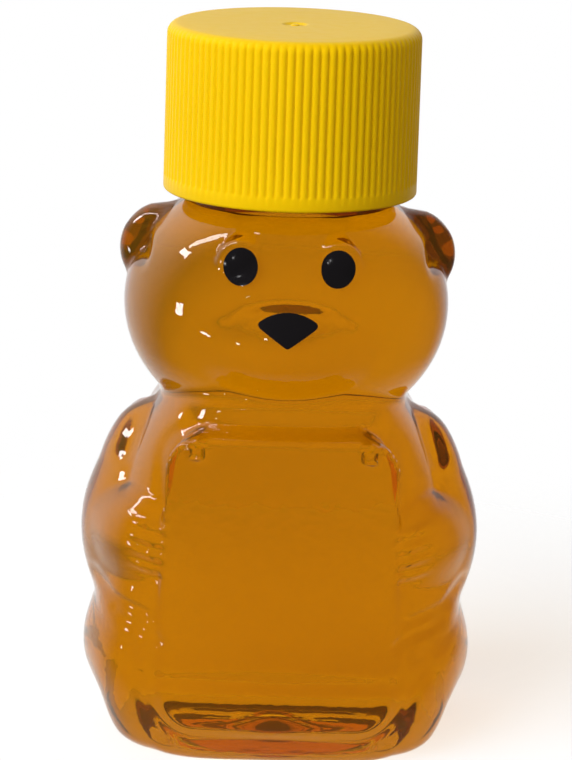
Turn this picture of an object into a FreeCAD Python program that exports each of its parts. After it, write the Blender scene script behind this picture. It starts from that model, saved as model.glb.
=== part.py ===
import FreeCAD, Part
import math
import os
from collections import namedtuple

Vector = FreeCAD.Vector

# Bear-shaped honey squeeze bottle with a ribbed screw cap.  All sizes are in millimetres.
# The origin is the centre of the foot, +Z is the neck's axis and the bear faces -Y.

# --- bear ------------------------------------------------------------------------------
crease_height = 37.9  # from the foot to where the head meets the body
head_length = 20.4  # from there to the flat shoulder that the neck stands on
wall = 0.7

# --- neck finish: 24 mm, style 410, one and a half turns -----------------------------------
neck_height = 16.5
neck_diameter = 21.5
neck_wall = 1.6
shoulder_step = 0.3  # how far the flat shoulder reaches past the neck
thread_height = 1.1
thread_pitch = 3.175
thread_turns = 1.5
thread_root_width = 1.6
thread_crest_width = 0.8
thread_below_lip = 2.4  # from the lip to the middle of the thread's upper end

# --- screw cap and its liner -----------------------------------------------------------------
cap_top = 1.2
cap_skirt_wall = 1.45
cap_corner_radius = 1.2
cap_rim_radius = 0.3
cap_crest_gap = 0.2  # between the neck's thread and the cap's inner wall
cap_thread_gap = 0.4  # between the cap's thread and the neck
cap_rim_gap = 0.9  # from the cap's rim to the shoulder
rib_count = 96
rib_groove_radius = 0.33
rib_groove_depth = 0.25
rib_band_height = 1.4  # plain band under the ribs
gate_dimple_radius = 1.3
gate_dimple_depth = 0.25
gate_nub_radius = 0.45
gate_nub_height = 0.2
liner_thickness = 1.0
liner_edge_gap = 0.25

# --- body profile ------------------------------------------------------------------------
# Body and head are superellipses in plan, and their widths and depths close along rounded
# profiles above and below their widest height.
body_half_width = 19.8
body_half_depth = 16.7
body_widest_height = 13.0
body_close_above = 7.3  # where the profile would close, above the crease
body_close_below = 6.1  # and below the foot
body_width_power = 2.05
body_depth_power = 4.0
foot_squareness = 4.4
chest_squareness = 2.8
chest_below_crease = 7.9
crease_blend = 1.2

# --- head profile ------------------------------------------------------------------------
head_half_width = 17.4
head_half_depth = 15.6
head_above_crease = 9.3  # from the crease to the head's widest height
head_width_power = 2.0
head_depth_power = 2.3
head_squareness = 2.2

# --- label panels, front and back ----------------------------------------------------------
panel_side_inset = 6.9  # from the body's side to the panel's edge
panel_bottom = 3.4
panel_below_crease = 1.7
panel_corner_radius = 4.2
panel_rise = 0.6
panel_bow_radius = 58.0
panel_edge_width = 1.3

# --- foot ------------------------------------------------------------------------------------
foot_radius = 1.2
foot_ring_width = 2.2
push_up_height = 2.2
push_up_top_share = 0.35

# --- contents --------------------------------------------------------------------------------
headspace = 8.8  # from the lip down to the honey
honey_gap = 0.15

# --- printed eyes and nose -------------------------------------------------------------------
ink_thickness = 0.1
ink_gap = 0.06
eye_half_width = 1.8
eye_half_height = 1.95
eye_spacing = 10.16
eye_up = 6.4  # above the head's widest height
eye_bump_half_depth = 1.55
eye_bump_rise = 0.4  # above the plain head
eye_bump_margin = 0.9  # all round the printed eye
nose_half_width = 3.1
nose_top_up = 2.1
nose_corner_up = 0.8
nose_tip_down = 1.5
nose_corner_radius = 0.4

# --- how finely the surfaces are drawn ---------------------------------------------------------
columns = 132
row_spacing = 0.85
foot_rows = 5
push_up_rows = 6
side_crowding = 0.3  # draws more columns at the ears and arms than at the middle
sink = 0.3  # how far a joined feature reaches into what carries it
LEVEL_TOLERANCE = 1e-3
LEAST_SHARE = 1e-3  # keeps a closed profile's width above zero
SLOPE_STEP = 0.5  # half the height over which the wall's slope is measured
STEEPEST = 2.0  # a wall's inset grows to this many times its size on a slope

# --- derived sizes -------------------------------------------------------------------------
bear_height = crease_height + head_length
neck_radius = neck_diameter / 2
bore_radius = neck_radius - neck_wall
thread_crest_radius = neck_radius + thread_height
lip_height = bear_height + neck_height
fill_height = lip_height - headspace
cap_inner_radius = thread_crest_radius + cap_crest_gap
cap_radius = cap_inner_radius + cap_skirt_wall
cap_bottom = bear_height + cap_rim_gap
cap_ceiling = lip_height + liner_thickness
cap_top_height = cap_ceiling + cap_top
body_rise = crease_height + body_close_above - body_widest_height
body_fall = body_widest_height + body_close_below
chest_height = crease_height - chest_below_crease
head_height = crease_height + head_above_crease
shoulder_share = (neck_radius + shoulder_step) / head_half_width
head_half_height = (bear_height - head_height) / (1.0 - shoulder_share**head_width_power) ** (
    1.0 / head_width_power
)
panel_half_width = body_half_width - panel_side_inset
panel_top = crease_height - panel_below_crease
panel_depth = body_half_depth + panel_rise
eye_height = head_height + eye_up

Carrier = namedtuple("Carrier", "half_width half_depth height")
Lobe = namedtuple("Lobe", "x y z half_width half_depth half_height lean blend")

head = Carrier(head_half_width, head_half_depth, head_height)
chest = Carrier(body_half_width, body_half_depth, crease_height)
hips = Carrier(body_half_width, body_half_depth, 0.0)


def profile(height, centre, reach, power):
    """Share of the full width left at a height, on a rounded profile."""
    share = min(abs(height - centre) / reach, 1.0)
    return max(1.0 - share**power, LEAST_SHARE) ** (1.0 / power)


def ring_radius(angle, half_width, half_depth, squareness):
    """Distance from the axis to a superellipse."""
    across = abs(math.cos(angle) / half_width) ** squareness
    along = abs(math.sin(angle) / half_depth) ** squareness
    return (across + along) ** (-1.0 / squareness)


def head_front(x, height):
    """How far the plain head reaches in front of the axis plane."""
    half_width = head_half_width * profile(height, head_height, head_half_height, head_width_power)
    half_depth = head_half_depth * profile(height, head_height, head_half_height, head_depth_power)
    return half_depth * (1.0 - abs(x / half_width) ** head_squareness) ** (1.0 / head_squareness)


def lobe(carrier, size, up, side_out=None, front_out=None, forward=0.0, lean=0.0, blend=0.5):
    """A rounded swelling of body or head.

    size is its half width, half depth and half height.  side_out and front_out say how far
    it stands out past the carrier's side and front; forward places it from the axis instead.
    lean tips its top towards the middle, in degrees, and blend softens where it meets the rest.
    """
    x = 0.0 if side_out is None else carrier.half_width + side_out - size[0]
    y = -forward if front_out is None else size[1] - carrier.half_depth - front_out
    return Lobe(x, y, carrier.height + up, *size, lean, blend)


ear = lobe(head, (4.8, 2.9, 4.9), up=5.3, side_out=0.6, forward=-0.8)
upper_arm = lobe(chest, (5.5, 6.8, 11.4), up=-12.8, side_out=0.6, forward=1.5, lean=5.0, blend=1.2)
elbow = lobe(chest, (6.8, 8.0, 8.6), up=-15.3, side_out=1.6, forward=1.8, blend=1.0)
hand = lobe(chest, (4.8, 5.8, 4.9), up=-13.3, side_out=-1.6, front_out=-0.7, blend=0.8)
knee = lobe(hips, (6.5, 9.0, 6.7), up=10.2, side_out=1.0, forward=2.6, blend=0.8)
shin = lobe(hips, (5.3, 9.4, 6.9), up=5.1, side_out=-2.6, forward=4.0, lean=-8.0, blend=1.2)
knee_ridge = lobe(hips, (3.4, 5.6, 6.0), up=7.0, side_out=-2.8, front_out=-0.9, lean=-6.0)
muzzle = lobe(head, (8.4, 6.8, 5.6), up=-1.3, front_out=2.0, blend=1.6)
nose_bump = lobe(head, (4.2, 4.1, 3.2), up=0.4, front_out=2.3, blend=0.8)
eye_bump = Lobe(
    x=eye_spacing / 2,
    y=eye_bump_half_depth - eye_bump_rise - head_front(eye_spacing / 2, eye_height),
    z=eye_height,
    half_width=eye_half_width + eye_bump_margin,
    half_depth=eye_bump_half_depth,
    half_height=eye_half_height + eye_bump_margin,
    lean=0.0,
    blend=0.3,
)
SIDE_LOBES = [ear, upper_arm, elbow, hand, knee, shin, knee_ridge, eye_bump]
MIDDLE_LOBES = [muzzle, nose_bump]


def smooth_max(first, second, blend):
    overlap = max(blend - abs(first - second), 0.0)
    return max(first, second) + overlap * overlap / (4.0 * blend)


def smooth_step(value):
    share = min(max(value, 0.0), 1.0)
    return share * share * (3.0 - 2.0 * share)


def lobe_radius(angle, height, lobe, side):
    """How far from the axis a level ray leaves the lobe; it falls away steeply beside the lobe."""
    lean_cos = math.cos(math.radians(lobe.lean))
    lean_sin = math.sin(math.radians(lobe.lean))
    offset_z = height - lobe.z
    ray_x = side * math.cos(angle)
    ray = Vector(
        ray_x * lean_cos / lobe.half_width,
        math.sin(angle) / lobe.half_depth,
        -ray_x * lean_sin / lobe.half_height,
    )
    start = Vector(
        (offset_z * lean_sin - lobe.x * lean_cos) / lobe.half_width,
        -lobe.y / lobe.half_depth,
        (offset_z * lean_cos + lobe.x * lean_sin) / lobe.half_height,
    )
    along = ray.dot(start)
    square = along * along - ray.dot(ray) * (start.dot(start) - 1.0)
    root = math.copysign(math.sqrt(abs(square)), square)
    return (root - along) / ray.dot(ray)


def panel_radius(angle):
    """Distance from the axis to the gently bowed label panel."""
    bow_centre = panel_depth - panel_bow_radius
    toward = abs(math.sin(angle))
    return bow_centre * toward + math.sqrt(panel_bow_radius**2 - bow_centre**2 * (1.0 - toward**2))


def panel_share(x, height):
    """1 on the panel, 0 off it, easing across its edge."""
    middle = (panel_top + panel_bottom) / 2
    over_x = abs(x) - panel_half_width + panel_corner_radius
    over_z = abs(height - middle) - (panel_top - panel_bottom) / 2 + panel_corner_radius
    outside = math.hypot(max(over_x, 0.0), max(over_z, 0.0)) + min(max(over_x, over_z), 0.0)
    return 1.0 - smooth_step((outside - panel_corner_radius) / panel_edge_width + 0.5)


def side_radius(angle, height):
    """The bear's outside, as a distance from the axis, before the foot is rounded."""
    reach = body_rise if height > body_widest_height else body_fall
    chest_share = min(height / chest_height, 1.0)
    radius = ring_radius(
        angle,
        body_half_width * profile(height, body_widest_height, reach, body_width_power),
        body_half_depth * profile(height, body_widest_height, reach, body_depth_power),
        foot_squareness + (chest_squareness - foot_squareness) * chest_share,
    )
    head_radius = ring_radius(
        angle,
        head_half_width * profile(height, head_height, head_half_height, head_width_power),
        head_half_depth * profile(height, head_height, head_half_height, head_depth_power),
        head_squareness,
    )
    radius = smooth_max(radius, head_radius, crease_blend)
    side = math.copysign(1.0, math.cos(angle))
    for swelling in SIDE_LOBES:
        radius = smooth_max(radius, lobe_radius(angle, height, swelling, side), swelling.blend)
    for swelling in MIDDLE_LOBES:
        radius = smooth_max(radius, lobe_radius(angle, height, swelling, 1.0), swelling.blend)
    on_panel = panel_radius(angle)
    share = panel_share(on_panel * math.cos(angle), height)
    return radius + (on_panel - radius) * share


def foot_inset(height):
    """How far the rounded foot draws in at a height."""
    below = min(max(foot_radius - height, 0.0), foot_radius)
    return foot_radius - math.sqrt(foot_radius**2 - below**2)


def outer_radius(angle, height):
    return side_radius(angle, height) - foot_inset(height)


def inner_radius(angle, height, inset):
    """The outside moved in by an inset measured square to it."""
    low = max(height - SLOPE_STEP, foot_radius)
    high = low + 2 * SLOPE_STEP
    slope = (side_radius(angle, high) - side_radius(angle, low)) / (high - low)
    across = min(math.hypot(1.0, slope), STEEPEST)
    return side_radius(angle, height) - inset * across - foot_inset(height - inset)


def column_angles():
    angles = []
    for column in range(columns):
        even = 2.0 * math.pi * column / columns
        angles.append(even - side_crowding * math.sin(2.0 * even))
    return angles


def wall_heights(bottom, top):
    """Heights of the rows, closer together round the foot; every wall has the same rows."""
    heights = []
    for row in range(foot_rows):
        heights.append(bottom + foot_radius * (1.0 - math.cos(math.pi / 2 * row / foot_rows)))
    start = bottom + foot_radius
    count = round(bear_height / row_spacing)
    for row in range(count + 1):
        heights.append(start + (top - start) * row / count)
    return heights


def ring(radius_at, height):
    points = []
    for angle in column_angles():
        radius = radius_at(angle)
        points.append(Vector(radius * math.cos(angle), radius * math.sin(angle), height))
    return points


def skin(rings):
    """A smooth face drawn by closed rings of points, each ring above the last."""
    degree = 3
    around = len(rings[0])
    along = len(rings)
    surface = Part.BSplineSurface()
    surface.buildFromPolesMultsKnots(
        [[points[column] for points in rings] for column in range(around)],
        [1] * (around + 1),
        [degree + 1] + [1] * (along - degree - 1) + [degree + 1],
        list(range(around + 1)),
        list(range(along - degree + 1)),
        True,
        False,
        degree,
        degree,
    )
    return surface.toShape()


def end_wire(face, height):
    """The face's closed edge at a height."""
    for edge in face.Edges:
        box = edge.BoundBox
        level = max(abs(box.ZMin - height), abs(box.ZMax - height)) < LEVEL_TOLERANCE
        if level and edge.isClosed():
            return Part.Wire([edge])
    raise ValueError(f"no closed edge at height {height}")


def flat_face(wires):
    return Part.makeFace(wires, "Part::FaceMakerBullseye")


def bear_solid(inset):
    """The bear with its pushed-up base, moved in all round by an inset."""
    bottom = inset
    top = bear_height - inset

    def radius_at(angle, height):
        return inner_radius(angle, height, inset) if inset else outer_radius(angle, height)

    side = skin([ring(lambda angle: radius_at(angle, z), z) for z in wall_heights(bottom, top)])
    dome_rings = []
    for row in range(push_up_rows + 1):
        turn = math.pi / 2 * row / push_up_rows
        share = 1.0 - (1.0 - push_up_top_share) * math.sin(turn) ** 2
        dome_rings.append(
            ring(
                lambda angle: (outer_radius(angle, 0.0) - foot_ring_width + inset) * share,
                bottom + push_up_height * math.sin(turn),
            )
        )
    dome = skin(dome_rings)
    faces = [
        side,
        flat_face([end_wire(side, bottom), end_wire(dome, bottom)]),
        dome,
        flat_face([end_wire(dome, bottom + push_up_height)]),
        flat_face([end_wire(side, top)]),
    ]
    shell = Part.makeShell(faces)
    shell.sewShape()
    solid = Part.makeSolid(shell)
    if solid.Volume < 0:
        solid.reverse()
    return solid


def cylinder(radius, bottom, top):
    return Part.makeCylinder(radius, top - bottom, Vector(0, 0, bottom))


def helical_thread(root_radius, crest_radius, start_height):
    """A right-hand thread; its section narrows from the root to the crest."""
    corners = [
        Vector(root_radius, 0, start_height - thread_root_width / 2),
        Vector(crest_radius, 0, start_height - thread_crest_width / 2),
        Vector(crest_radius, 0, start_height + thread_crest_width / 2),
        Vector(root_radius, 0, start_height + thread_root_width / 2),
    ]
    section = Part.makePolygon(corners + corners[:1])
    path = Part.makeHelix(thread_pitch, thread_pitch * thread_turns, neck_radius)
    path.translate(Vector(0, 0, start_height))
    return Part.Wire(path).makePipeShell([section], True, True)


def edges_at(shape, height):
    """Edges that lie in the level plane at a height."""
    found = []
    for edge in shape.Edges:
        box = edge.BoundBox
        if max(abs(box.ZMin - height), abs(box.ZMax - height)) < LEVEL_TOLERANCE:
            found.append(edge)
    return found


def make_bottle():
    bore = cylinder(bore_radius, bear_height - wall, lip_height)
    thread_low = lip_height - thread_below_lip - thread_pitch * thread_turns
    thread = helical_thread(neck_radius - sink, thread_crest_radius, thread_low)
    neck = cylinder(neck_radius, bear_height, lip_height).fuse(thread).cut(bore)
    return bear_solid(0.0).cut(bear_solid(wall)).cut(bore).fuse(neck)


def make_honey():
    """The fill, from the pushed-up base to its level in the neck."""
    inset = wall + honey_gap
    column = cylinder(bore_radius - honey_gap, bear_height - inset, fill_height)
    return bear_solid(inset).fuse(column).removeSplitter()


def rib_grooves():
    """Upright grooves all round the cap, between the plain band and the rounded corner."""
    bottom = cap_bottom + rib_band_height
    axis_radius = cap_radius - rib_groove_depth + rib_groove_radius
    length = cap_top_height - cap_corner_radius - bottom
    grooves = []
    for rib in range(rib_count):
        groove = Part.makeCylinder(rib_groove_radius, length, Vector(axis_radius, 0, bottom))
        groove.rotate(Vector(0, 0, 0), Vector(0, 0, 1), 360.0 * rib / rib_count)
        grooves.append(groove)
    return Part.makeCompound(grooves)


def make_cap():
    blank = cylinder(cap_radius, cap_bottom, cap_top_height)
    blank = blank.makeFillet(cap_corner_radius, edges_at(blank, cap_top_height))
    blank = blank.makeFillet(cap_rim_radius, edges_at(blank, cap_bottom))
    shell = blank.cut(cylinder(cap_inner_radius, cap_bottom, cap_ceiling)).cut(rib_grooves())

    dimple_floor = cap_top_height - gate_dimple_depth
    dimple = cylinder(gate_dimple_radius, dimple_floor, cap_top_height)
    nub = cylinder(gate_nub_radius, dimple_floor - sink, dimple_floor + gate_nub_height)
    shell = shell.cut(dimple).fuse(nub)

    # The cap's thread lies midway between the turns of the neck's thread.
    thread_low = lip_height - thread_below_lip - thread_pitch * (thread_turns + 0.5)
    thread = helical_thread(cap_inner_radius + sink, neck_radius + cap_thread_gap, thread_low)
    return shell.fuse(thread)


def make_liner():
    return cylinder(cap_inner_radius - liner_edge_gap, lip_height, cap_ceiling)


def ink_print(outline):
    """A thin film of ink that follows the bear's face inside an outline on the XZ plane."""
    bounds = outline.BoundBox
    margin = 3.5 * row_spacing
    heights = [
        height
        for height in wall_heights(0.0, bear_height)
        if bounds.ZMin - margin < height < bounds.ZMax + margin
    ]
    face = skin([ring(lambda angle: outer_radius(angle, z) + ink_gap, z) for z in heights])
    toward_front = Vector(0, -2 * head_half_depth, 0)
    printed = face.common(Part.Face(outline).extrude(toward_front))
    return printed.Faces[0].extrude(Vector(0, -ink_thickness, 0))


def eye_outline(side):
    middle = Vector(side * eye_spacing / 2, 0, eye_height)
    top = middle + Vector(0, 0, eye_half_height)
    beside = middle + Vector(eye_half_width, 0, 0)
    return Part.Wire([Part.Ellipse(top, beside, middle).toShape()])


def nose_outline():
    """A rounded shield: a domed top edge and two straight sides down to the tip."""
    reach = nose_half_width - nose_corner_radius
    left = Vector(-reach, 0, head_height + nose_corner_up)
    right = Vector(reach, 0, head_height + nose_corner_up)
    top = Vector(0, 0, head_height + nose_top_up - nose_corner_radius)
    tip = Vector(0, 0, head_height - nose_tip_down + nose_corner_radius)
    edges = [
        Part.Arc(left, top, right).toShape(),
        Part.LineSegment(right, tip).toShape(),
        Part.LineSegment(tip, left).toShape(),
    ]
    rounded = Part.Face(Part.Wire(edges)).makeOffset2D(nose_corner_radius)
    return rounded.Wires[0]


PIECES = {
    "bottle": make_bottle(),
    "honey": make_honey(),
    "screw_cap": make_cap(),
    "cap_liner": make_liner(),
    "left_eye": ink_print(eye_outline(-1)),
    "right_eye": ink_print(eye_outline(1)),
    "nose": ink_print(nose_outline()),
}

os.makedirs("parts", exist_ok=True)
for name, piece in PIECES.items():
    piece.exportStep(f"parts/{name}.step")
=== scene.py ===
import math
from collections import namedtuple

import bmesh
import bpy
import numpy as np
from mathutils import Matrix, Vector


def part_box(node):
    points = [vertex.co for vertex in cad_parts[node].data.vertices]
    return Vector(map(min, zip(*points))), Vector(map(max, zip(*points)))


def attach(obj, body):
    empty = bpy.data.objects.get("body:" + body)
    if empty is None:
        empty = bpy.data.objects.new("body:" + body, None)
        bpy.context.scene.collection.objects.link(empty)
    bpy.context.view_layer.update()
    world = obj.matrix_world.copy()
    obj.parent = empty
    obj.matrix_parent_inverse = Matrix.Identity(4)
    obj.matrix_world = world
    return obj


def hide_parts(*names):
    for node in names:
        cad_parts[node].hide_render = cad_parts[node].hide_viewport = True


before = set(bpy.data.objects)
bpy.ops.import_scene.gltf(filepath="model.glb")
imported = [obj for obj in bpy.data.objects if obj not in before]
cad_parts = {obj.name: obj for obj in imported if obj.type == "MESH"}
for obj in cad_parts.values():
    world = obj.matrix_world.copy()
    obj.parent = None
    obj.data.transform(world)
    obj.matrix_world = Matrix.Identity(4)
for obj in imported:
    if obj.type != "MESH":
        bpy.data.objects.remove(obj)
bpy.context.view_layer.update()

bl_info = {
    "name": "Honey Bear Bottle",
    "version": (1, 0, 0),
    "blender": (4, 5, 0),
    "location": "3D View > Sidebar > Honey Bottle",
    "description": "Clear bear-shaped squeeze bottle of honey with a ribbed screw cap",
    "category": "Add Mesh",
}

# Shapes are worked out in millimetres, and a finished piece is scaled to metres.
MM = 0.001


def top_of(node):
    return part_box(node)[1].z / MM


def bottom_of(node):
    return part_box(node)[0].z / MM


lip_height = top_of("bottle")
fill_height = top_of("honey")
cap_bottom = bottom_of("screw_cap")
cap_top = top_of("screw_cap")
cap_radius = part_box("screw_cap")[1].x / MM
cap_ceiling = top_of("cap_liner")
eye_height = (top_of("left_eye") + bottom_of("left_eye")) / 2
nose_top = top_of("nose")
nose_tip = bottom_of("nose")

# --- bear ----------------------------------------------------------------------------------------
bear_height = 58.3
body_half_width = 19.8
body_half_depth = 16.7
body_widest_height = 13.0
body_rise = 32.2
body_fall = 19.1
body_width_power = 2.05
body_depth_power = 4.0
foot_squareness = 4.4
chest_squareness = 2.8
chest_height = 30.0
crease_blend = 1.2
head_half_width = 17.4
head_half_depth = 15.6
head_height = 47.2
head_half_height = 14.32
head_width_power = 2.0
head_depth_power = 2.3
head_squareness = 2.2
foot_radius = 2.0
foot_ring_width = 2.2
push_up_height = 0.9
push_up_top_share = 0.35
mound_height = 1.4
mound_radius = 5.2
pinch_height = 0.35
pinch_half_width = 0.45
form_margin = 0.03
least_profile = 1e-3  # keeps a profile's power finite where it closes
most_widening = 2.0  # how many times an inset may grow where the wall slopes

# --- label panels --------------------------------------------------------------------------------
panel_half_width = 12.9
panel_bottom = 3.4
panel_top = 36.2
panel_corner_radius = 4.2
panel_depth = 17.3
panel_bow_radius = 58.0
panel_edge_width = 1.3

# --- small forms in the wall ---------------------------------------------------------------------
finger_x = 14.2
finger_half_width = 2.5
finger_middle_height = 23.6
finger_half_height = 3.3
finger_pitch = 1.6
finger_slope = 0.25
finger_fade = 0.8
button_x = 9.0
button_height = 34.2
button_radius = 0.85
button_rise = 0.38
button_line = 0.36
button_bar_height = 35.45
button_bar_half_length = 0.85
button_bar_slope = 0.2
chin_height = 42.1
chin_radius = 0.9
chin_rise = 0.06
chin_line = 0.35
panel_groove_depth = 0.2
panel_groove_half_width = 1.0
ear_dish_x = 15.9
ear_dish_height = 53.9
ear_dish_half_width = 1.7
ear_dish_half_height = 3.1
ear_dish_depth = 1.0
ear_dish_back = 0.05  # sine of the angle, past the side, where the hollow stops

# --- neck and fill -------------------------------------------------------------------------------
neck_radius = 10.75
neck_plain_rows = (0.0, 0.6, 3.0, 6.0)  # above the shoulder
bore_radius = 9.15
bore_top_below_lip = 1.0
lip_radius = 0.3
lip_band = 0.9  # from the lip down to the last plain row of the neck
meniscus_depth = 0.35
meniscus_share = 0.2  # of the bore's radius over which the honey creeps up
fill_shares = (0.0, 0.4, 0.75, 0.87, 0.93, 0.97, 1.0)
thread_height = 1.1
thread_pitch = 3.175
thread_turns = 1.5
thread_root_width = 1.6
thread_crest_width = 0.8
thread_below_lip = 2.4
thread_rows_below_lip = 1.2
thread_fade_turns = 0.06

# --- cap -----------------------------------------------------------------------------------------
cap_inner_radius = 12.05
cap_corner_radius = 1.2
cap_rim_radius = 0.3
cap_thread_gap = 0.4
cap_thread_start_turns = 0.5  # how far below the neck's thread the cap's begins
cap_inner_edge = 0.4
cap_ceiling_radii = (0.0, 6.0)
cap_top_radii = (9.0, 5.0, 2.5, 1.6, 1.45, 1.3, 1.15, 1.0, 0.8, 0.6, 0.5, 0.42, 0.34, 0.2, 0.0)
rib_band_height = 1.4
rib_fade = 0.35
rib_groove_share = 0.72
rib_rows = (66.0, 70.0)
rib_corner_share = 0.75  # of the rounded top edge, over which the ribs fade out
gate_dimple_radius = 1.3
gate_dimple_depth = 0.22
gate_dimple_slope = 0.4
gate_nub_radius = 0.42
gate_nub_slope = 0.2
gate_nub_share = 0.9  # of the dimple's depth
gate_edge = 0.1

# --- prints --------------------------------------------------------------------------------------
ink_gap = 0.06
eye_spacing = 10.16
eye_half_width = 1.8
eye_half_height = 1.95
nose_half_width = 3.1
nose_corner_up = 2.3
nose_corner_radius = 0.4

# --- how much each material bends light ----------------------------------------------------------
plastic_ior = 1.5
wet_ior = 1.01  # where wall and honey meet
cap_ior = 1.49

# --- stage: metres and degrees, with the camera's sensor and lens in millimetres -----------------
floor_back = 0.042
floor_fade_start = 0.02
floor_radius = 0.085
floor_glow = 0.34
bright_way = (-0.32, 0.89, 0.32)
room_level = 0.08
through_level = 0.5
backdrop_level = 1.0
bright_from = 0.15
bright_to = 0.88
lamp_distance = 0.6
lamp_aim = (0.0, 0.0, 0.04)
white = (1.0, 1.0, 1.0)
warm = (1.0, 0.84, 0.66)
camera_place = (0.00026, -0.450, 0.14272)
camera_pitch = 13.054
camera_roll = 1.877
camera_yaw = -1.0
camera_sensor = 36.0
camera_lens = 203.2
camera_clip_start = 0.01

# --- how finely the shapes are drawn -------------------------------------------------------------
foot_rows = 8
push_up_rows = 22
bore_rows = 6
edge_rows = 5
corner_rows = 9
nose_arc_columns = 17
floor_columns = 64
face_rounds = 20
weld_distance = 1e-5
sharp_degrees = 35.0
wall_columns = 256
wall_row_spacing = 0.3
inner_row_spacing = 0.9
neck_row_spacing = 0.18
side_crowding = 0.2
front_crowding = 0.5
columns_a_rib = 8
print_columns = 96
print_rings = 10

Lobe = namedtuple("Lobe", "x y z half_width half_depth half_height lean blend")
SIDE_LOBES = [
    Lobe(13.2, 0.8, 52.5, 4.8, 2.9, 4.9, 0.0, 0.5),  # ear
    Lobe(14.9, -1.5, 25.1, 5.5, 6.8, 11.4, 5.0, 2.0),  # upper arm
    Lobe(14.6, -2.6, 22.6, 6.6, 8.6, 8.6, 0.0, 2.0),  # elbow
    Lobe(12.8, -9.0, 23.9, 5.8, 6.4, 5.4, 0.0, 3.0),  # hand
    Lobe(14.3, -3.4, 10.2, 6.5, 9.4, 6.7, 0.0, 2.0),  # knee
    Lobe(11.9, -4.0, 5.1, 5.3, 9.4, 6.9, -8.0, 2.5),  # shin
    Lobe(13.6, -8.3, 7.0, 4.8, 6.2, 8.6, -8.0, 2.0),  # knee ridge
    Lobe(5.08, -12.7, 53.6, 2.7, 1.55, 2.85, 0.0, 0.3),  # eye bump
]
MIDDLE_LOBES = [
    Lobe(0.0, -9.6, 45.4, 9.4, 7.9, 6.4, 0.0, 2.2),  # muzzle
]
Groove = namedtuple("Groove", "depth half_width points")
GROOVES = [
    Groove(0.42, 1.4, ((14.9, 37.3), (16.1, 34.2), (16.8, 31.6))),  # inside the arm
    Groove(0.16, 1.3, ((16.4, 28.3), (14.4, 27.4))),  # over the hand
    Groove(0.25, 1.2, ((19.6, 18.8), (17.7, 17.1), (13.9, 16.1))),  # under the arm
    Groove(0.10, 1.2, ((15.8, 12.6), (14.5, 7.6), (12.8, 3.8), (11.1, 1.6))),  # inside the shin
    Groove(0.20, 1.0, ((12.6, 13.4), (14.2, 14.6), (16.3, 15.1), (17.3, 15.8))),  # over the knee
    Groove(0.15, 1.8, ((0.0, 50.9), (3.0, 50.7), (5.2, 50.0), (6.8, 48.8))),  # over the muzzle
    Groove(0.55, 1.9, ((0.0, 36.9), (9.6, 36.7))),  # over the panel
]
Lamp = namedtuple("Lamp", "name azimuth elevation width height brightness glint tilt color")
LAMPS = [
    Lamp("high_window", 92.0, 33.0, 0.12, 0.05, 18.0, True, 0.0, white),
    Lamp("long_window", 78.0, 56.0, 0.48, 0.045, 12.0, True, 52.4, white),
    Lamp("low_window", 70.0, -4.0, 0.07, 0.07, 18.0, True, 0.0, white),
    Lamp("small_window", 46.0, -5.0, 0.035, 0.035, 18.0, True, 0.0, white),
    Lamp("front_window", 21.0, 11.0, 0.03, 0.04, 14.0, True, 0.0, white),
    Lamp("soft_key", 46.0, 28.0, 0.5, 0.5, 6.0, False, 0.0, white),
    Lamp("soft_fill", -50.0, 12.0, 0.5, 0.5, 1.5, False, 0.0, warm),
]


# --- the bear's form -----------------------------------------------------------------------------
def profile(height, centre, reach, power):
    """Share of the full width left at a height, on a rounded profile."""
    share = np.minimum(np.abs(height - centre) / reach, 1.0)
    return np.maximum(1.0 - share**power, least_profile) ** (1.0 / power)


def ring_radius(angle, half_width, half_depth, squareness):
    """Distance from the axis to a superellipse."""
    across = np.abs(np.cos(angle) / half_width) ** squareness
    along = np.abs(np.sin(angle) / half_depth) ** squareness
    return (across + along) ** (-1.0 / squareness)


def smooth_max(first, second, blend):
    overlap = np.maximum(blend - np.abs(first - second), 0.0)
    return np.maximum(first, second) + overlap * overlap / (4.0 * blend)


def smooth_step(value):
    share = np.clip(value, 0.0, 1.0)
    return share * share * (3.0 - 2.0 * share)


def hill(distance):
    """1 in the middle, falling smoothly to nothing at a distance of 1 and beyond."""
    return 1.0 - smooth_step(np.abs(distance))


def lobe_radius(angle, height, lobe, side):
    """How far from the axis a level ray leaves the lobe; it falls away steeply beside it."""
    lean_cos = math.cos(math.radians(lobe.lean))
    lean_sin = math.sin(math.radians(lobe.lean))
    offset_z = height - lobe.z
    ray_x = side * np.cos(angle)
    ray = (
        ray_x * lean_cos / lobe.half_width,
        np.sin(angle) / lobe.half_depth,
        -ray_x * lean_sin / lobe.half_height,
    )
    start = (
        (offset_z * lean_sin - lobe.x * lean_cos) / lobe.half_width,
        -lobe.y / lobe.half_depth,
        (offset_z * lean_cos + lobe.x * lean_sin) / lobe.half_height,
    )
    ray_square = sum(part * part for part in ray)
    along = sum(a * b for a, b in zip(ray, start))
    square = along * along - ray_square * (sum(part * part for part in start) - 1.0)
    root = np.sign(square) * np.sqrt(np.abs(square))
    return (root - along) / ray_square


def panel_radius(angle):
    """Distance from the axis to the gently bowed label panel."""
    bow_centre = panel_depth - panel_bow_radius
    toward = np.abs(np.sin(angle))
    rest = np.sqrt(panel_bow_radius**2 - bow_centre**2 * (1.0 - toward**2))
    return bow_centre * toward + rest


def from_panel_edge(x, height):
    """Distance from the panel's edge, below zero on the panel."""
    middle = (panel_top + panel_bottom) / 2
    over_x = np.abs(x) - panel_half_width + panel_corner_radius
    over_z = np.abs(height - middle) - (panel_top - panel_bottom) / 2 + panel_corner_radius
    corner = np.hypot(np.maximum(over_x, 0.0), np.maximum(over_z, 0.0))
    return corner + np.minimum(np.maximum(over_x, over_z), 0.0) - panel_corner_radius


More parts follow.
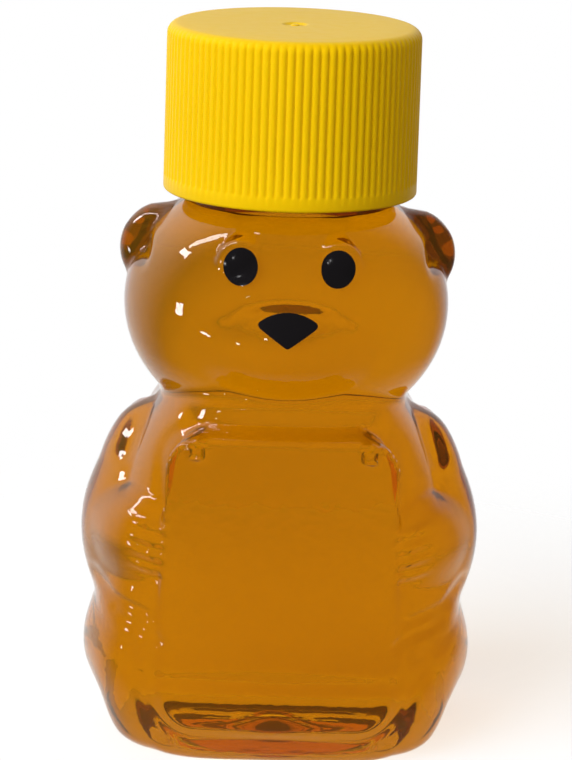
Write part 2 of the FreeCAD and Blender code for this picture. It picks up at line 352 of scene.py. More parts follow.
def panel_share(x, height):
    """1 on the panel, 0 off it, easing across its edge."""
    return 1.0 - smooth_step(from_panel_edge(x, height) / panel_edge_width + 0.5)


def from_line(x, height, points):
    """Distance from a bent line, seen from the front."""
    nearest = np.full_like(x, np.inf)
    for (start_x, start_z), (end_x, end_z) in zip(points, points[1:]):
        run_x = end_x - start_x
        run_z = end_z - start_z
        along = (x - start_x) * run_x + (height - start_z) * run_z
        share = np.clip(along / (run_x**2 + run_z**2), 0.0, 1.0)
        off = np.hypot(x - start_x - run_x * share, height - start_z - run_z * share)
        nearest = np.minimum(nearest, off)
    return nearest


def side_radius(angle, height):
    """The bear's form as a distance from the axis, before the foot is rounded."""
    reach = np.where(height > body_widest_height, body_rise, body_fall)
    chest_share = np.minimum(height / chest_height, 1.0)
    radius = ring_radius(
        angle,
        body_half_width * profile(height, body_widest_height, reach, body_width_power),
        body_half_depth * profile(height, body_widest_height, reach, body_depth_power),
        foot_squareness + (chest_squareness - foot_squareness) * chest_share,
    )
    head = ring_radius(
        angle,
        head_half_width * profile(height, head_height, head_half_height, head_width_power),
        head_half_depth * profile(height, head_height, head_half_height, head_depth_power),
        head_squareness,
    )
    radius = smooth_max(radius, head, crease_blend)
    side = np.where(np.cos(angle) < 0, -1.0, 1.0)
    for lobe in SIDE_LOBES:
        radius = smooth_max(radius, lobe_radius(angle, height, lobe, side), lobe.blend)
    for lobe in MIDDLE_LOBES:
        radius = smooth_max(radius, lobe_radius(angle, height, lobe, 1.0), lobe.blend)
    on_panel = panel_radius(angle)
    radius = radius + (on_panel - radius) * panel_share(on_panel * np.cos(angle), height)
    return radius - form_margin - ear_dish(angle, height, radius)


def ear_dish(angle, height, radius):
    """How deep the hollow in the front of each ear is."""
    across = (np.abs(radius * np.cos(angle)) - ear_dish_x) / ear_dish_half_width
    along = (height - ear_dish_height) / ear_dish_half_height
    return ear_dish_depth * hill(np.hypot(across, along)) * (np.sin(angle) < ear_dish_back)


def small_forms(angle, height, radius):
    """Fingers, grooves, buttons and the chin's mark, as a change of the wall's outside."""
    x = np.abs(radius * np.cos(angle))
    sizes = bpy.context.scene.honey_bottle_sizes
    up = height - finger_slope * (x - finger_x) - finger_middle_height
    fade_up = smooth_step((finger_half_height - np.abs(up)) / finger_fade + 0.5)
    fade_across = hill((x - finger_x) / finger_half_width)
    wave = np.cos(2.0 * np.pi * (up / finger_pitch + 0.5))
    change = sizes.finger_depth / MM * wave * fade_across * fade_up

    for groove in GROOVES:
        away = from_line(x, height, groove.points) / groove.half_width
        change = change - groove.depth * hill(away)
    from_edge = from_panel_edge(x, height) / panel_groove_half_width
    change = change - panel_groove_depth * hill(from_edge)

    from_button = np.hypot(x - button_x, height - button_height) - button_radius
    change = change + button_rise * hill(from_button / button_line)
    bar_end = np.maximum(np.abs(x - button_x) - button_bar_half_length, 0.0)
    bar_up = height - button_bar_height - button_bar_slope * (button_x - x)
    from_bar = np.hypot(bar_end, bar_up)
    change = change + button_rise * hill(from_bar / button_line)

    from_chin = np.hypot(x, height - chin_height) - chin_radius
    upper = smooth_step((height - chin_height) / chin_radius + 0.5)
    change = change + chin_rise * hill(from_chin / chin_line) * upper
    return change * (np.sin(angle) < 0)


def foot_inset(height):
    """How far the rounded foot draws in at a height."""
    below = np.clip(foot_radius - height, 0.0, foot_radius)
    return foot_radius - np.sqrt(foot_radius**2 - below**2)


def outer_radius(angle, height):
    radius = side_radius(angle, height)
    return radius + small_forms(angle, height, radius) - foot_inset(height)


def inner_radius(angle, height, inset):
    """The form moved in by an inset measured square to it, with its slope over one millimetre."""
    low = np.maximum(height - 0.5, foot_radius)
    slope = side_radius(angle, low + 1.0) - side_radius(angle, low)
    across = np.minimum(np.hypot(1.0, slope), most_widening)
    return side_radius(angle, height) - inset * across - foot_inset(height - inset)


def face_depth(x, height):
    """The Y of the bear's face."""
    radius = np.full_like(x, head_half_depth)
    for _ in range(face_rounds):
        radius = outer_radius(-np.arccos(x / radius), height)
    return -np.sqrt(radius**2 - x**2)


def thread_share(angle, height, start_height):
    """1 on the crest of a right-hand thread, 0 on its root; its ends fade out."""
    share = np.zeros_like(angle)
    for turn in range(math.ceil(thread_turns)):
        turns = angle / (2.0 * np.pi) + turn
        from_middle = np.abs(height - start_height - thread_pitch * turns)
        slope = (thread_root_width - thread_crest_width) / 2
        section = smooth_step((thread_root_width / 2 - from_middle) / slope)
        from_end = np.minimum(turns, thread_turns - turns)
        share = np.maximum(share, section * smooth_step(from_end / thread_fade_turns))
    return share


# --- mesh tools ----------------------------------------------------------------------------------
def column_angles(columns, to_sides=0.0, to_front=0.0):
    """Angles round a ring, which may crowd towards its sides and its front."""
    even = 2.0 * np.pi * np.arange(columns) / columns
    return even - to_sides * np.sin(2.0 * even) - to_front * np.cos(even)


def ring_points(angles, radius, height):
    """One closed ring of points about the axis."""
    shape = np.zeros_like(angles)
    return np.stack([radius * np.cos(angles), radius * np.sin(angles), height + shape], axis=1)


def ringed_mesh(rings, second_material_from=None):
    """A closed skin over rings of points, whose first and last rings are single points."""
    columns = len(rings[0])
    last = len(rings) - 1
    bm = bmesh.new()
    bmesh.ops.create_grid(bm, x_segments=columns, y_segments=last, size=0.5)
    if second_material_from is not None:
        for face in bm.faces:
            row = (face.calc_center_median().y + 0.5) * last
            face.material_index = int(row > second_material_from)
    for vert in bm.verts:
        column = round((vert.co.x + 0.5) * columns) % columns
        row = round((vert.co.y + 0.5) * last)
        vert.co = rings[row][column]
    bmesh.ops.remove_doubles(bm, verts=bm.verts, dist=weld_distance)
    return bm


def finish_piece(bm, name, body, node, materials):
    """Makes the mesh an object in metres that rides on a body and stands for a CAD node."""
    for face in bm.faces:
        face.smooth = True
    for edge in bm.edges:
        edge.smooth = edge.calc_face_angle(0.0) < math.radians(sharp_degrees)
    bmesh.ops.scale(bm, vec=(MM, MM, MM), verts=bm.verts)
    mesh = bpy.data.meshes.new(name)
    bm.to_mesh(mesh)
    bm.free()
    for material in materials:
        mesh.materials.append(material)
    piece = bpy.data.objects.new(name, mesh)
    bpy.context.scene.collection.objects.link(piece)
    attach(piece, body)
    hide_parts(node)


# --- materials -----------------------------------------------------------------------------------
class Nodes:
    """A material's node tree, with short ways to add and join nodes."""

    def __init__(self, name):
        self.material = bpy.data.materials.new(name)
        self.material.use_nodes = True
        self.tree = self.material.node_tree
        self.tree.nodes.clear()
        self.output = self.add("ShaderNodeOutputMaterial")

    def add(self, kind, **sockets):
        node = self.tree.nodes.new(kind)
        for name, value in sockets.items():
            node.inputs[name.replace("_", " ")].default_value = value
        return node

    def link(self, source, target):
        self.tree.links.new(source, target)

    def principled(self, color, **sockets):
        shader = self.add("ShaderNodeBsdfPrincipled", Base_Color=(*color, 1.0), **sockets)
        self.link(shader.outputs["BSDF"], self.output.inputs["Surface"])
        return shader

    def noise(self, scale, detail=3.0):
        place = self.add("ShaderNodeTexCoord")
        texture = self.add("ShaderNodeTexNoise", Scale=scale, Detail=detail)
        self.link(place.outputs["Object"], texture.inputs["Vector"])
        return texture.outputs["Fac"]

    def vary(self, source, low, high):
        spread = self.add("ShaderNodeMapRange", To_Min=low, To_Max=high)
        self.link(source, spread.inputs["Value"])
        return spread.outputs["Result"]

    def bump(self, shader, height, distance, strength):
        bump = self.add("ShaderNodeBump", Strength=strength, Distance=distance)
        self.link(height, bump.inputs["Height"])
        self.link(bump.outputs["Normal"], shader.inputs["Normal"])

    def let_lamps_through(self, shader, color):
        """Lamps shine through the surface, which tints their light."""
        path = self.add("ShaderNodeLightPath")
        clear = self.add("ShaderNodeBsdfTransparent", Color=(*color, 1.0))
        mix = self.add("ShaderNodeMixShader")
        self.link(path.outputs["Is Shadow Ray"], mix.inputs["Fac"])
        self.link(shader.outputs["BSDF"], mix.inputs[1])
        self.link(clear.outputs["BSDF"], mix.inputs[2])
        self.link(mix.outputs["Shader"], self.output.inputs["Surface"])


def clear_plastic():
    nodes = Nodes("clear_wall")
    shader = nodes.principled(white, Roughness=0.0, Transmission_Weight=1.0, IOR=plastic_ior)
    nodes.bump(shader, nodes.noise(scale=220.0), distance=0.00010, strength=0.5)
    nodes.let_lamps_through(shader, color=(0.97, 0.97, 0.97))
    return nodes.material


def wet_plastic():
    """The wall's inside where honey wets it: the two bend light nearly alike."""
    nodes = Nodes("clear_wall_wet")
    shader = nodes.principled(white, Roughness=0.0, Transmission_Weight=1.0, IOR=wet_ior)
    nodes.bump(shader, nodes.noise(scale=160.0), distance=0.00004, strength=0.5)
    nodes.let_lamps_through(shader, color=white)
    return nodes.material


def honey_material(colours):
    nodes = Nodes("amber_honey")
    shader = nodes.principled(
        colours.honey, Roughness=0.0, Transmission_Weight=colours.honey_clearness, IOR=wet_ior
    )
    shader.inputs["Specular IOR Level"].default_value = 0.0
    nodes.bump(shader, nodes.noise(scale=120.0), distance=0.00002, strength=0.5)
    absorb = nodes.add("ShaderNodeVolumeAbsorption", Density=colours.honey_density)
    absorb.inputs["Color"].default_value = (*colours.honey_depth, 1.0)
    nodes.link(absorb.outputs["Volume"], nodes.output.inputs["Volume"])
    nodes.let_lamps_through(shader, color=(0.9, 0.75, 0.5))
    return nodes.material


def cap_material(colours):
    nodes = Nodes("yellow_cap")
    shader = nodes.principled(colours.cap, Roughness=0.45, IOR=cap_ior, Subsurface_Weight=0.1)
    shader.inputs["Specular IOR Level"].default_value = 0.25
    shader.inputs["Specular Tint"].default_value = (1.0, 0.8, 0.15, 1.0)
    shader.inputs["Subsurface Radius"].default_value = (1.0, 0.5, 0.05)
    shader.inputs["Subsurface Scale"].default_value = 0.001
    grain = nodes.noise(scale=900.0, detail=6.0)
    nodes.link(nodes.vary(grain, low=0.38, high=0.52), shader.inputs["Roughness"])
    nodes.bump(shader, grain, distance=0.00003, strength=0.4)
    return nodes.material


def liner_material(colours):
    nodes = Nodes("white_foam")
    shader = nodes.principled(colours.liner, Roughness=0.9)
    nodes.bump(shader, nodes.noise(scale=2500.0, detail=8.0), distance=0.00008, strength=0.8)
    return nodes.material


def ink_material(colours):
    nodes = Nodes("glossy_ink")
    shader = nodes.principled(colours.ink, Roughness=0.12)
    nodes.bump(shader, nodes.noise(scale=1200.0, detail=5.0), distance=0.00002, strength=0.35)
    return nodes.material


# --- sizes and colours a user would change -------------------------------------------------------
def length_property(name, description, default, most):
    return bpy.props.FloatProperty(
        name=name,
        description=description,
        default=default,
        min=0.0,
        max=most,
        precision=5,
        unit="LENGTH",
        subtype="DISTANCE",
    )


def colour_property(name, description, default):
    return bpy.props.FloatVectorProperty(
        name=name,
        description=description,
        default=default,
        size=3,
        min=0.0,
        max=1.0,
        subtype="COLOR",
    )


class BottleSizes(bpy.types.PropertyGroup):
    """Sizes of the bottle, its fill and its cap"""

    wall: length_property("Wall", "Thickness of the bottle's wall", 0.0007, 0.002)
    honey_gap: length_property("Honey gap", "Space between honey and wall", 0.00002, 0.0002)
    finger_depth: length_property("Finger depth", "Height of the fingers' ridges", 0.00019, 0.0005)
    rib_depth: length_property("Rib depth", "Depth of the cap's grooves", 0.00017, 0.0006)
    rib_count: bpy.props.IntProperty(
        name="Ribs", description="Number of ribs round the cap", default=96, min=12, max=160
    )
    ink: length_property("Ink", "Thickness of the printed eyes and nose", 0.0001, 0.0002)


class BottleColours(bpy.types.PropertyGroup):
    """Colours of the pieces and of the stage"""

    honey: colour_property("Honey", "Colour of the honey's surface", (0.87, 0.40, 0.001))
    honey_depth: colour_property("Honey depth", "Colour deep in the honey", (0.824, 0.73, 0.1))
    honey_density: bpy.props.FloatProperty(
        name="Honey density",
        description="How strongly the honey takes colour from light",
        default=100.0,
        min=0.0,
        max=1000.0,
    )
    honey_clearness: bpy.props.FloatProperty(
        name="Honey clearness",
        description="Share of the light that passes through the honey",
        default=0.93,
        min=0.5,
        max=1.0,
        subtype="FACTOR",
    )
    cap: colour_property("Cap", "Colour of the screw cap", (0.84, 0.53, 0.002))
    liner: colour_property("Liner", "Colour of the cap's foam liner", (0.83, 0.82, 0.78))
    ink: colour_property("Ink", "Colour of the printed eyes and nose", (0.006, 0.005, 0.006))
    floor: colour_property("Floor", "Colour of the floor", (0.8, 0.8, 0.8))


# --- bottle and honey ----------------------------------------------------------------------------
def side_heights(bottom, top, spacing):
    """Heights of rows up the side, closer together on the rounded foot."""
    turns = [math.pi / 2 * row / foot_rows for row in range(foot_rows)]
    foot = [bottom + foot_radius * (1.0 - math.cos(turn)) for turn in turns]
    start = bottom + foot_radius
    count = round((top - start) / spacing)
    return foot + [start + (top - start) * row / count for row in range(count + 1)]


def push_up_rings(angles, edge, bottom):
    """The pushed-up base from the mound in its middle to its edge, with the mould's pinch line."""
    rings = []
    for share in np.linspace(0.0, 1.0, push_up_rows):
        radius = edge * share
        rise = smooth_step((1.0 - share) / (1.0 - push_up_top_share))
        line = hill(radius * np.sin(angles) / pinch_half_width) * smooth_step(rise)
        mound = mound_height * hill(radius / mound_radius)
        height = bottom + push_up_height * rise + mound - pinch_height * line
        rings.append(ring_points(angles, radius, height))
    return rings


def neck_rings(angles):
    """The neck's outside with its thread, from the shoulder to the lip's edge."""
    thread_low = lip_height - thread_below_lip - thread_pitch * thread_turns
    thread_high = lip_height - thread_rows_below_lip
    plain = [bear_height + rise for rise in neck_plain_rows]
    threaded = np.arange(thread_low - thread_root_width, thread_high, neck_row_spacing)
    rings = []
    for height in [*plain, *threaded, lip_height - lip_band, lip_height - lip_radius]:
        share = thread_share(angles, height, thread_low)
        rings.append(ring_points(angles, neck_radius + thread_height * share, height))
    return rings


def lip_rings(angles):
    """The rounded lip, from the neck's outside over to its bore."""
    rings = []
    for turn in np.linspace(0.0, math.pi / 2, edge_rows)[1:]:
        radius = neck_radius - lip_radius * (1.0 - math.cos(turn))
        height = lip_height - lip_radius * (1.0 - math.sin(turn))
        rings.append(ring_points(angles, radius, height))
    for turn in np.linspace(0.0, math.pi / 2, edge_rows):
        radius = bore_radius + lip_radius * (1.0 - math.sin(turn))
        height = lip_height - lip_radius * (1.0 - math.cos(turn))
        rings.append(ring_points(angles, radius, height))
    return rings


def wall_inside(angles, inset, bore):
    """The inside of the bear from its top to its middle below, moved in by an inset."""
    top = bear_height - inset
    rings = [ring_points(angles, bore, top)]
    for height in reversed(side_heights(inset, top, inner_row_spacing)):
        radius = inner_radius(angles, np.full_like(angles, height), inset)
        rings.append(ring_points(angles, radius, height))
    edge = outer_radius(angles, np.zeros_like(angles)) - foot_ring_width + inset
    return rings + push_up_rings(angles, edge, inset)[::-1]


def bottle_mesh(wall):
    """The bottle's skin, from the middle below up its outside and down its inside."""
    angles = column_angles(wall_columns, side_crowding, front_crowding)
    edge = outer_radius(angles, np.zeros_like(angles)) - foot_ring_width
    rings = push_up_rings(angles, edge, 0.0)
    for height in side_heights(0.0, bear_height, wall_row_spacing):
        radius = outer_radius(angles, np.full_like(angles, height))
        rings.append(ring_points(angles, radius, height))
    rings += neck_rings(angles) + lip_rings(angles)
    for height in np.linspace(lip_height - bore_top_below_lip, fill_height, bore_rows):
        rings.append(ring_points(angles, bore_radius, height))
    wet_from = len(rings) - 1
    for height in np.linspace(fill_height, bear_height - wall, bore_rows)[1:-1]:
        rings.append(ring_points(angles, bore_radius, height))
    return ringed_mesh(rings + wall_inside(angles, wall, bore_radius), wet_from)


def honey_mesh(wall, gap):
    """The fill, upside down: from its level in the neck, down its side to the base."""
    angles = column_angles(wall_columns, side_crowding, front_crowding)
    column = bore_radius - gap
    rings = []
    for share in fill_shares:
        height = fill_height - meniscus_depth * smooth_step((1.0 - share) / meniscus_share)
        rings.append(ring_points(angles, column * share, height))
    for height in np.linspace(fill_height, bear_height - wall - gap, bore_rows)[1:-1]:
        rings.append(ring_points(angles, column, height))
    rings += wall_inside(angles, wall + gap, column)
    return ringed_mesh(rings[::-1])


class HONEYBOTTLE_OT_bottle(bpy.types.Operator):
    """Model the clear bear-shaped bottle with its threaded neck"""

    bl_idname = "honey_bottle.bottle"
    bl_label = "Bottle"

    def execute(self, context):
        wall = context.scene.honey_bottle_sizes.wall / MM
        materials = [clear_plastic(), wet_plastic()]
        bm = bottle_mesh(wall)
        finish_piece(bm, "bear_bottle", "bottle", "bottle", materials)
        return {"FINISHED"}


class HONEYBOTTLE_OT_honey(bpy.types.Operator):
    """Fill the bottle with honey"""

    bl_idname = "honey_bottle.honey"
    bl_label = "Honey"

    def execute(self, context):
        sizes = context.scene.honey_bottle_sizes
        material = honey_material(context.scene.honey_bottle_colours)
        bm = honey_mesh(sizes.wall / MM, sizes.honey_gap / MM)
        finish_piece(bm, "honey_fill", "bottle", "honey", [material])
        return {"FINISHED"}


# --- cap and liner -------------------------------------------------------------------------------
def cap_mesh(rib_count, rib_depth):
    """The cap's skin from the middle of its ceiling, down its thread and up its ribs."""
    angles = column_angles(rib_count * columns_a_rib)
    turns_below = thread_turns + cap_thread_start_turns
    thread_low = lip_height - thread_below_lip - thread_pitch * turns_below
    thread_high = thread_low + thread_pitch * thread_turns + thread_root_width
    crest = cap_inner_radius - neck_radius - cap_thread_gap
    ceiling_radii = (*cap_ceiling_radii, cap_inner_radius)
    rings = [ring_points(angles, radius, cap_ceiling) for radius in ceiling_radii]
    for height in np.arange(thread_high, thread_low - thread_root_width, -neck_row_spacing):
        radius = cap_inner_radius - crest * thread_share(angles, height, thread_low)
        rings.append(ring_points(angles, radius, height))
    rings.append(ring_points(angles, cap_inner_radius, cap_bottom + cap_inner_edge))
    rings.append(ring_points(angles, cap_inner_radius, cap_bottom))
    for turn in np.linspace(0.0, math.pi / 2, edge_rows):
        radius = cap_radius - cap_rim_radius * (1.0 - math.sin(turn))
        height = cap_bottom + cap_rim_radius * (1.0 - math.cos(turn))
        rings.append(ring_points(angles, radius, height))

    from_groove = np.abs((angles * rib_count / (2.0 * np.pi) + 0.5) % 1.0 - 0.5)
    groove = rib_depth * hill(from_groove / rib_groove_share * 2.0)
    band_top = cap_bottom + rib_band_height
    corner = cap_top - cap_corner_radius
    for height in (band_top, band_top + rib_fade / 2, band_top + rib_fade, *rib_rows, corner):
        share = smooth_step((height - band_top) / rib_fade)
        rings.append(ring_points(angles, cap_radius - groove * share, height))
    for turn in np.linspace(0.0, math.pi / 2, corner_rows)[1:]:
        fade = 1.0 - smooth_step(turn / (math.pi / 2) / rib_corner_share)
        radius = cap_radius - cap_corner_radius * (1.0 - math.cos(turn)) - groove * fade
        height = corner + cap_corner_radius * math.sin(turn)
        rings.append(ring_points(angles, radius, height))
    for radius in cap_top_radii:
        dimple = smooth_step((gate_dimple_radius + gate_edge - radius) / gate_dimple_slope)
        nub = smooth_step((gate_nub_radius + gate_edge - radius) / gate_nub_slope)
        height = cap_top - gate_dimple_depth * (dimple - gate_nub_share * nub)
        rings.append(ring_points(angles, radius, height))
    return ringed_mesh(rings)


class HONEYBOTTLE_OT_cap(bpy.types.Operator):
    """Model the ribbed screw cap"""

    bl_idname = "honey_bottle.cap"
    bl_label = "Screw cap"

    def execute(self, context):
        sizes = context.scene.honey_bottle_sizes
        material = cap_material(context.scene.honey_bottle_colours)
        bm = cap_mesh(sizes.rib_count, sizes.rib_depth / MM)
        finish_piece(bm, "ribbed_cap", "cap", "screw_cap", [material])
        return {"FINISHED"}


class HONEYBOTTLE_OT_liner(bpy.types.Operator):
    """Give the liner in the cap its foam finish"""

    bl_idname = "honey_bottle.liner"
    bl_label = "Cap liner"

    def execute(self, context):
        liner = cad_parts["cap_liner"]
        liner.data.materials.clear()
        liner.data.materials.append(liner_material(context.scene.honey_bottle_colours))
        return {"FINISHED"}


# --- printed eyes and nose -----------------------------------------------------------------------
def print_mesh(x, z, thickness):
    """A film of ink on the bear's face inside an outline, which runs round anticlockwise."""
    middle_x = (x.min() + x.max()) / 2
    middle_z = (z.min() + z.max()) / 2
    shares = np.linspace(0.0, 1.0, print_rings)
    layers = [(share, ink_gap) for share in shares]
    layers += [(share, ink_gap + thickness) for share in shares[::-1]]
    rings = []
    for share, lift in layers:
        across = middle_x + (x - middle_x) * share
        up = middle_z + (z - middle_z) * share
        rings.append(np.stack([across, face_depth(across, up) - lift, up], axis=1))
    return ringed_mesh(rings)


def eye_outline(side):
    turns = column_angles(print_columns)
    x = side * eye_spacing / 2 + eye_half_width * np.cos(turns)
    return x, eye_height + eye_half_height * np.sin(turns)


def nose_outline():
    """A rounded shield: a domed top edge and two straight sides down to the tip."""
    reach = nose_half_width - nose_corner_radius
    corner = nose_tip + nose_corner_up
    dome = nose_top - nose_corner_radius - corner
    dome_radius = (reach**2 + dome**2) / (2.0 * dome)
    dome_half = math.asin(reach / dome_radius)
    tip = nose_tip + nose_corner_radius
    slope = math.atan2(corner - tip, reach)
    up = math.pi / 2
    arcs = (
        (0.0, corner + dome - dome_radius, dome_radius, up - dome_half, up + dome_half),
        (-reach, corner, 0.0, up + dome_half, 3 * up - slope),
        (0.0, tip, 0.0, 3 * up - slope, 3 * up + slope),
        (reach, corner, 0.0, 3 * up + slope, 5 * up - dome_half),
    )
    x = []
    z = []
    for centre_x, centre_z, radius, start, end in arcs:
        turns = np.linspace(start, end, nose_arc_columns)
        x.append(centre_x + (radius + nose_corner_radius) * np.cos(turns))
        z.append(centre_z + (radius + nose_corner_radius) * np.sin(turns))
    x = np.append(np.concatenate(x), x[0][0])
    z = np.append(np.concatenate(z), z[0][0])
    along = np.append(0.0, np.cumsum(np.hypot(np.diff(x), np.diff(z))))
    even = np.linspace(0.0, along[-1], print_columns, endpoint=False)
    return np.interp(even, along, x), np.interp(even, along, z)


class HONEYBOTTLE_OT_face(bpy.types.Operator):
    """Print the two eyes and the nose on the bear's face"""

    bl_idname = "honey_bottle.face"
    bl_label = "Printed face"

    def execute(self, context):
        thickness = context.scene.honey_bottle_sizes.ink / MM
        material = ink_material(context.scene.honey_bottle_colours)
        prints = {
            "left_eye": eye_outline(-1),
            "right_eye": eye_outline(1),
            "nose": nose_outline(),
        }
        for node, (x, z) in prints.items():
            bm = print_mesh(x, z, thickness)
            finish_piece(bm, f"printed_{node}", "bottle", node, [material])
        return {"FINISHED"}


# --- stage ---------------------------------------------------------------------------------------
def add_light_path_share(tree):
    """1 for rays that show a surface or the backdrop: seen, mirrored or through glass."""
    path = tree.nodes.new("ShaderNodeLightPath")
    share = path.outputs["Is Camera Ray"]
    for name in ("Is Glossy Ray", "Is Transmission Ray"):
        either = tree.nodes.new("ShaderNodeMath")
        either.operation = "MAXIMUM"
        tree.links.new(share, either.inputs[0])
        tree.links.new(path.outputs[name], either.inputs[1])
        share = either.outputs["Value"]
    return share


def make_floor(color):
    """A round pale floor that shows as white, and fades into the white round it."""
    bm = bmesh.new()
    bmesh.ops.create_circle(bm, cap_ends=True, segments=floor_columns, radius=floor_radius)
    bmesh.ops.translate(bm, verts=bm.verts, vec=(0.0, floor_back, 0.0))
    mesh = bpy.data.meshes.new("floor")
    bm.to_mesh(mesh)
    bm.free()
    floor = bpy.data.objects.new("floor", mesh)
    bpy.context.scene.collection.objects.link(floor)
    nodes = Nodes("floor")
    shader = nodes.principled(color, Roughness=0.8, Emission_Color=(*white, 1.0))
    grain = nodes.vary(nodes.noise(scale=40.0), low=0.75, high=0.85)
    nodes.link(grain, shader.inputs["Roughness"])
    glow = nodes.vary(add_light_path_share(nodes.tree), low=0.0, high=floor_glow)
    nodes.link(glow, shader.inputs["Emission Strength"])
    place = nodes.add("ShaderNodeTexCoord")
    from_middle = nodes.add("ShaderNodeVectorMath")
    from_middle.operation = "DISTANCE"
    from_middle.inputs[1].default_value = (0.0, floor_back, 0.0)
    fade = nodes.add("ShaderNodeMapRange", From_Min=floor_fade_start, From_Max=floor_radius)
    fade.interpolation_type = "SMOOTHSTEP"
    mix = nodes.add("ShaderNodeMixShader")
    nodes.link(place.outputs["Object"], from_middle.inputs[0])
    nodes.link(from_middle.outputs["Value"], fade.inputs["Value"])
    nodes.link(fade.outputs["Result"], mix.inputs["Fac"])
    nodes.link(shader.outputs["BSDF"], mix.inputs[1])
    nodes.link(nodes.add("ShaderNodeBsdfTransparent").outputs["BSDF"], mix.inputs[2])
    nodes.link(mix.outputs["Shader"], nodes.output.inputs["Surface"])
    mesh.materials.append(nodes.material)


def make_world(scene):
    """A bright backdrop behind the bottle and a dimmer room behind the camera.

    The camera sees white all round, and rays through the bottle see at least a pale room.
    """
    world = bpy.data.worlds.new("studio")
    scene.world = world
    world.use_nodes = True
    tree = world.node_tree
    background = tree.nodes["Background"]
    background.inputs["Color"].default_value = (*white, 1.0)
    place = tree.nodes.new("ShaderNodeTexCoord")
    toward = tree.nodes.new("ShaderNodeVectorMath")
    toward.operation = "DOT_PRODUCT"
    toward.inputs[1].default_value = bright_way
    spread = tree.nodes.new("ShaderNodeMapRange")
    spread.interpolation_type = "SMOOTHSTEP"
    spread.inputs["From Min"].default_value = bright_from
    spread.inputs["From Max"].default_value = bright_to
    spread.inputs["To Min"].default_value = room_level
    spread.inputs["To Max"].default_value = backdrop_level
    tree.links.new(place.outputs["Generated"], toward.inputs[0])
    tree.links.new(toward.outputs["Value"], spread.inputs["Value"])
    path = tree.nodes.new("ShaderNodeLightPath")
    strength = spread.outputs["Result"]
    for name, level in (("Is Camera Ray", 1.0), ("Is Transmission Ray", through_level)):
        share = tree.nodes.new("ShaderNodeMath")
        share.operation = "MULTIPLY"
        share.inputs[1].default_value = level
        brighter = tree.nodes.new("ShaderNodeMath")
        brighter.operation = "MAXIMUM"
        tree.links.new(path.outputs[name], share.inputs[0])
        tree.links.new(share.outputs["Value"], brighter.inputs[0])
        tree.links.new(strength, brighter.inputs[1])
        strength = brighter.outputs["Value"]
    tree.links.new(strength, background.inputs["Strength"])


def make_lamp(spec):
    """An area lamp that faces the bottle; azimuth runs from the front towards -X.

    A glint shows as a reflection only, and any other lamp lights the surfaces.
    """
    aim = Vector(lamp_aim)
    azimuth = math.radians(spec.azimuth)
    elevation = math.radians(spec.elevation)
    level = lamp_distance * math.cos(elevation)
    place = aim + Vector((
        -level * math.sin(azimuth),
        -level * math.cos(azimuth),
        lamp_distance * math.sin(elevation),
    ))
    light = bpy.data.lights.new(spec.name, "AREA")
    light.shape = "RECTANGLE"
    light.size = spec.width
    light.size_y = spec.height
    light.energy = spec.brightness * math.pi * spec.width * spec.height
    light.color = spec.color
    lamp = bpy.data.objects.new(spec.name, light)
    bpy.context.scene.collection.objects.link(lamp)
    lamp.visible_diffuse = not spec.glint
    lamp.visible_glossy = spec.glint
    lamp.visible_transmission = False
    turn = (aim - place).to_track_quat("-Z", "Y").to_matrix().to_4x4()
    spin = Matrix.Rotation(math.radians(spec.tilt), 4, "Z")
    lamp.matrix_world = Matrix.Translation(place) @ turn @ spin


def make_camera():
    """The camera stands in front, a little above, and is tipped slightly to one side."""
    pitch = math.radians(camera_pitch)
    roll = math.radians(camera_roll)
    yaw = math.radians(camera_yaw)
    place = Vector(camera_place)
    forward = Vector((0.0, math.cos(pitch), -math.sin(pitch)))
    level = Vector((1.0, 0.0, 0.0))
    upward = Vector((0.0, math.sin(pitch), math.cos(pitch)))
    right = level * math.cos(roll) + upward * math.sin(roll)
    up = upward * math.cos(roll) - level * math.sin(roll)
    turn = Matrix((right, up, -forward)).transposed().to_4x4()
    data = bpy.data.cameras.new("camera")
    data.sensor_width = camera_sensor
    data.lens = camera_lens
    data.clip_start = camera_clip_start
    camera = bpy.data.objects.new("camera", data)
    bpy.context.scene.collection.objects.link(camera)
    camera.matrix_world = Matrix.Rotation(yaw, 4, "Z") @ Matrix.Translation(place) @ turn
    return camera


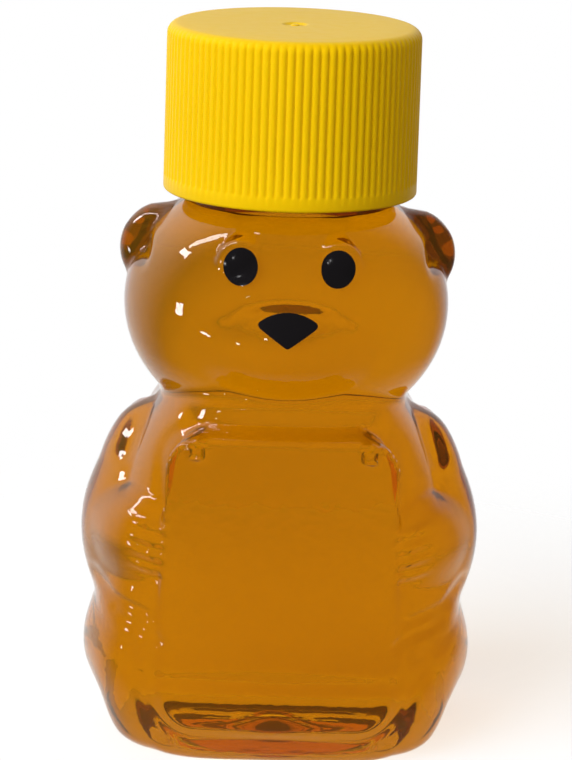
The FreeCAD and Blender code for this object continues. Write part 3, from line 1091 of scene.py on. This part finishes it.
class HONEYBOTTLE_OT_stage(bpy.types.Operator):
    """Set up the floor, the lamps, the world and the camera"""

    bl_idname = "honey_bottle.stage"
    bl_label = "Stage"

    def execute(self, context):
        scene = context.scene
        scene.view_settings.view_transform = "Standard"
        make_floor(scene.honey_bottle_colours.floor)
        make_world(scene)
        for spec in LAMPS:
            make_lamp(spec)
        scene.camera = make_camera()
        return {"FINISHED"}


# --- panel and registration ----------------------------------------------------------------------
OPERATORS = (
    HONEYBOTTLE_OT_bottle,
    HONEYBOTTLE_OT_honey,
    HONEYBOTTLE_OT_cap,
    HONEYBOTTLE_OT_liner,
    HONEYBOTTLE_OT_face,
    HONEYBOTTLE_OT_stage,
)


class HONEYBOTTLE_PT_panel(bpy.types.Panel):
    """Lists the bottle's sizes, colours and pieces"""

    bl_idname = "HONEYBOTTLE_PT_panel"
    bl_label = "Honey Bottle"
    bl_space_type = "VIEW_3D"
    bl_region_type = "UI"
    bl_category = "Honey Bottle"

    def draw(self, context):
        for group in (context.scene.honey_bottle_sizes, context.scene.honey_bottle_colours):
            box = self.layout.box()
            for name in group.bl_rna.properties.keys():
                if name not in ("rna_type", "name"):
                    box.prop(group, name)
        for operator in OPERATORS:
            self.layout.operator(operator.bl_idname)


CLASSES = (BottleSizes, BottleColours, *OPERATORS, HONEYBOTTLE_PT_panel)


def register():
    for cls in CLASSES:
        bpy.utils.register_class(cls)
    bpy.types.Scene.honey_bottle_sizes = bpy.props.PointerProperty(type=BottleSizes)
    bpy.types.Scene.honey_bottle_colours = bpy.props.PointerProperty(type=BottleColours)


def unregister():
    del bpy.types.Scene.honey_bottle_colours
    del bpy.types.Scene.honey_bottle_sizes
    for cls in reversed(CLASSES):
        bpy.utils.unregister_class(cls)


def main():
    register()
    bpy.ops.honey_bottle.bottle()
    bpy.ops.honey_bottle.honey()
    bpy.ops.honey_bottle.cap()
    bpy.ops.honey_bottle.liner()
    bpy.ops.honey_bottle.face()
    bpy.ops.honey_bottle.stage()


if __name__ == "__main__":
    main()
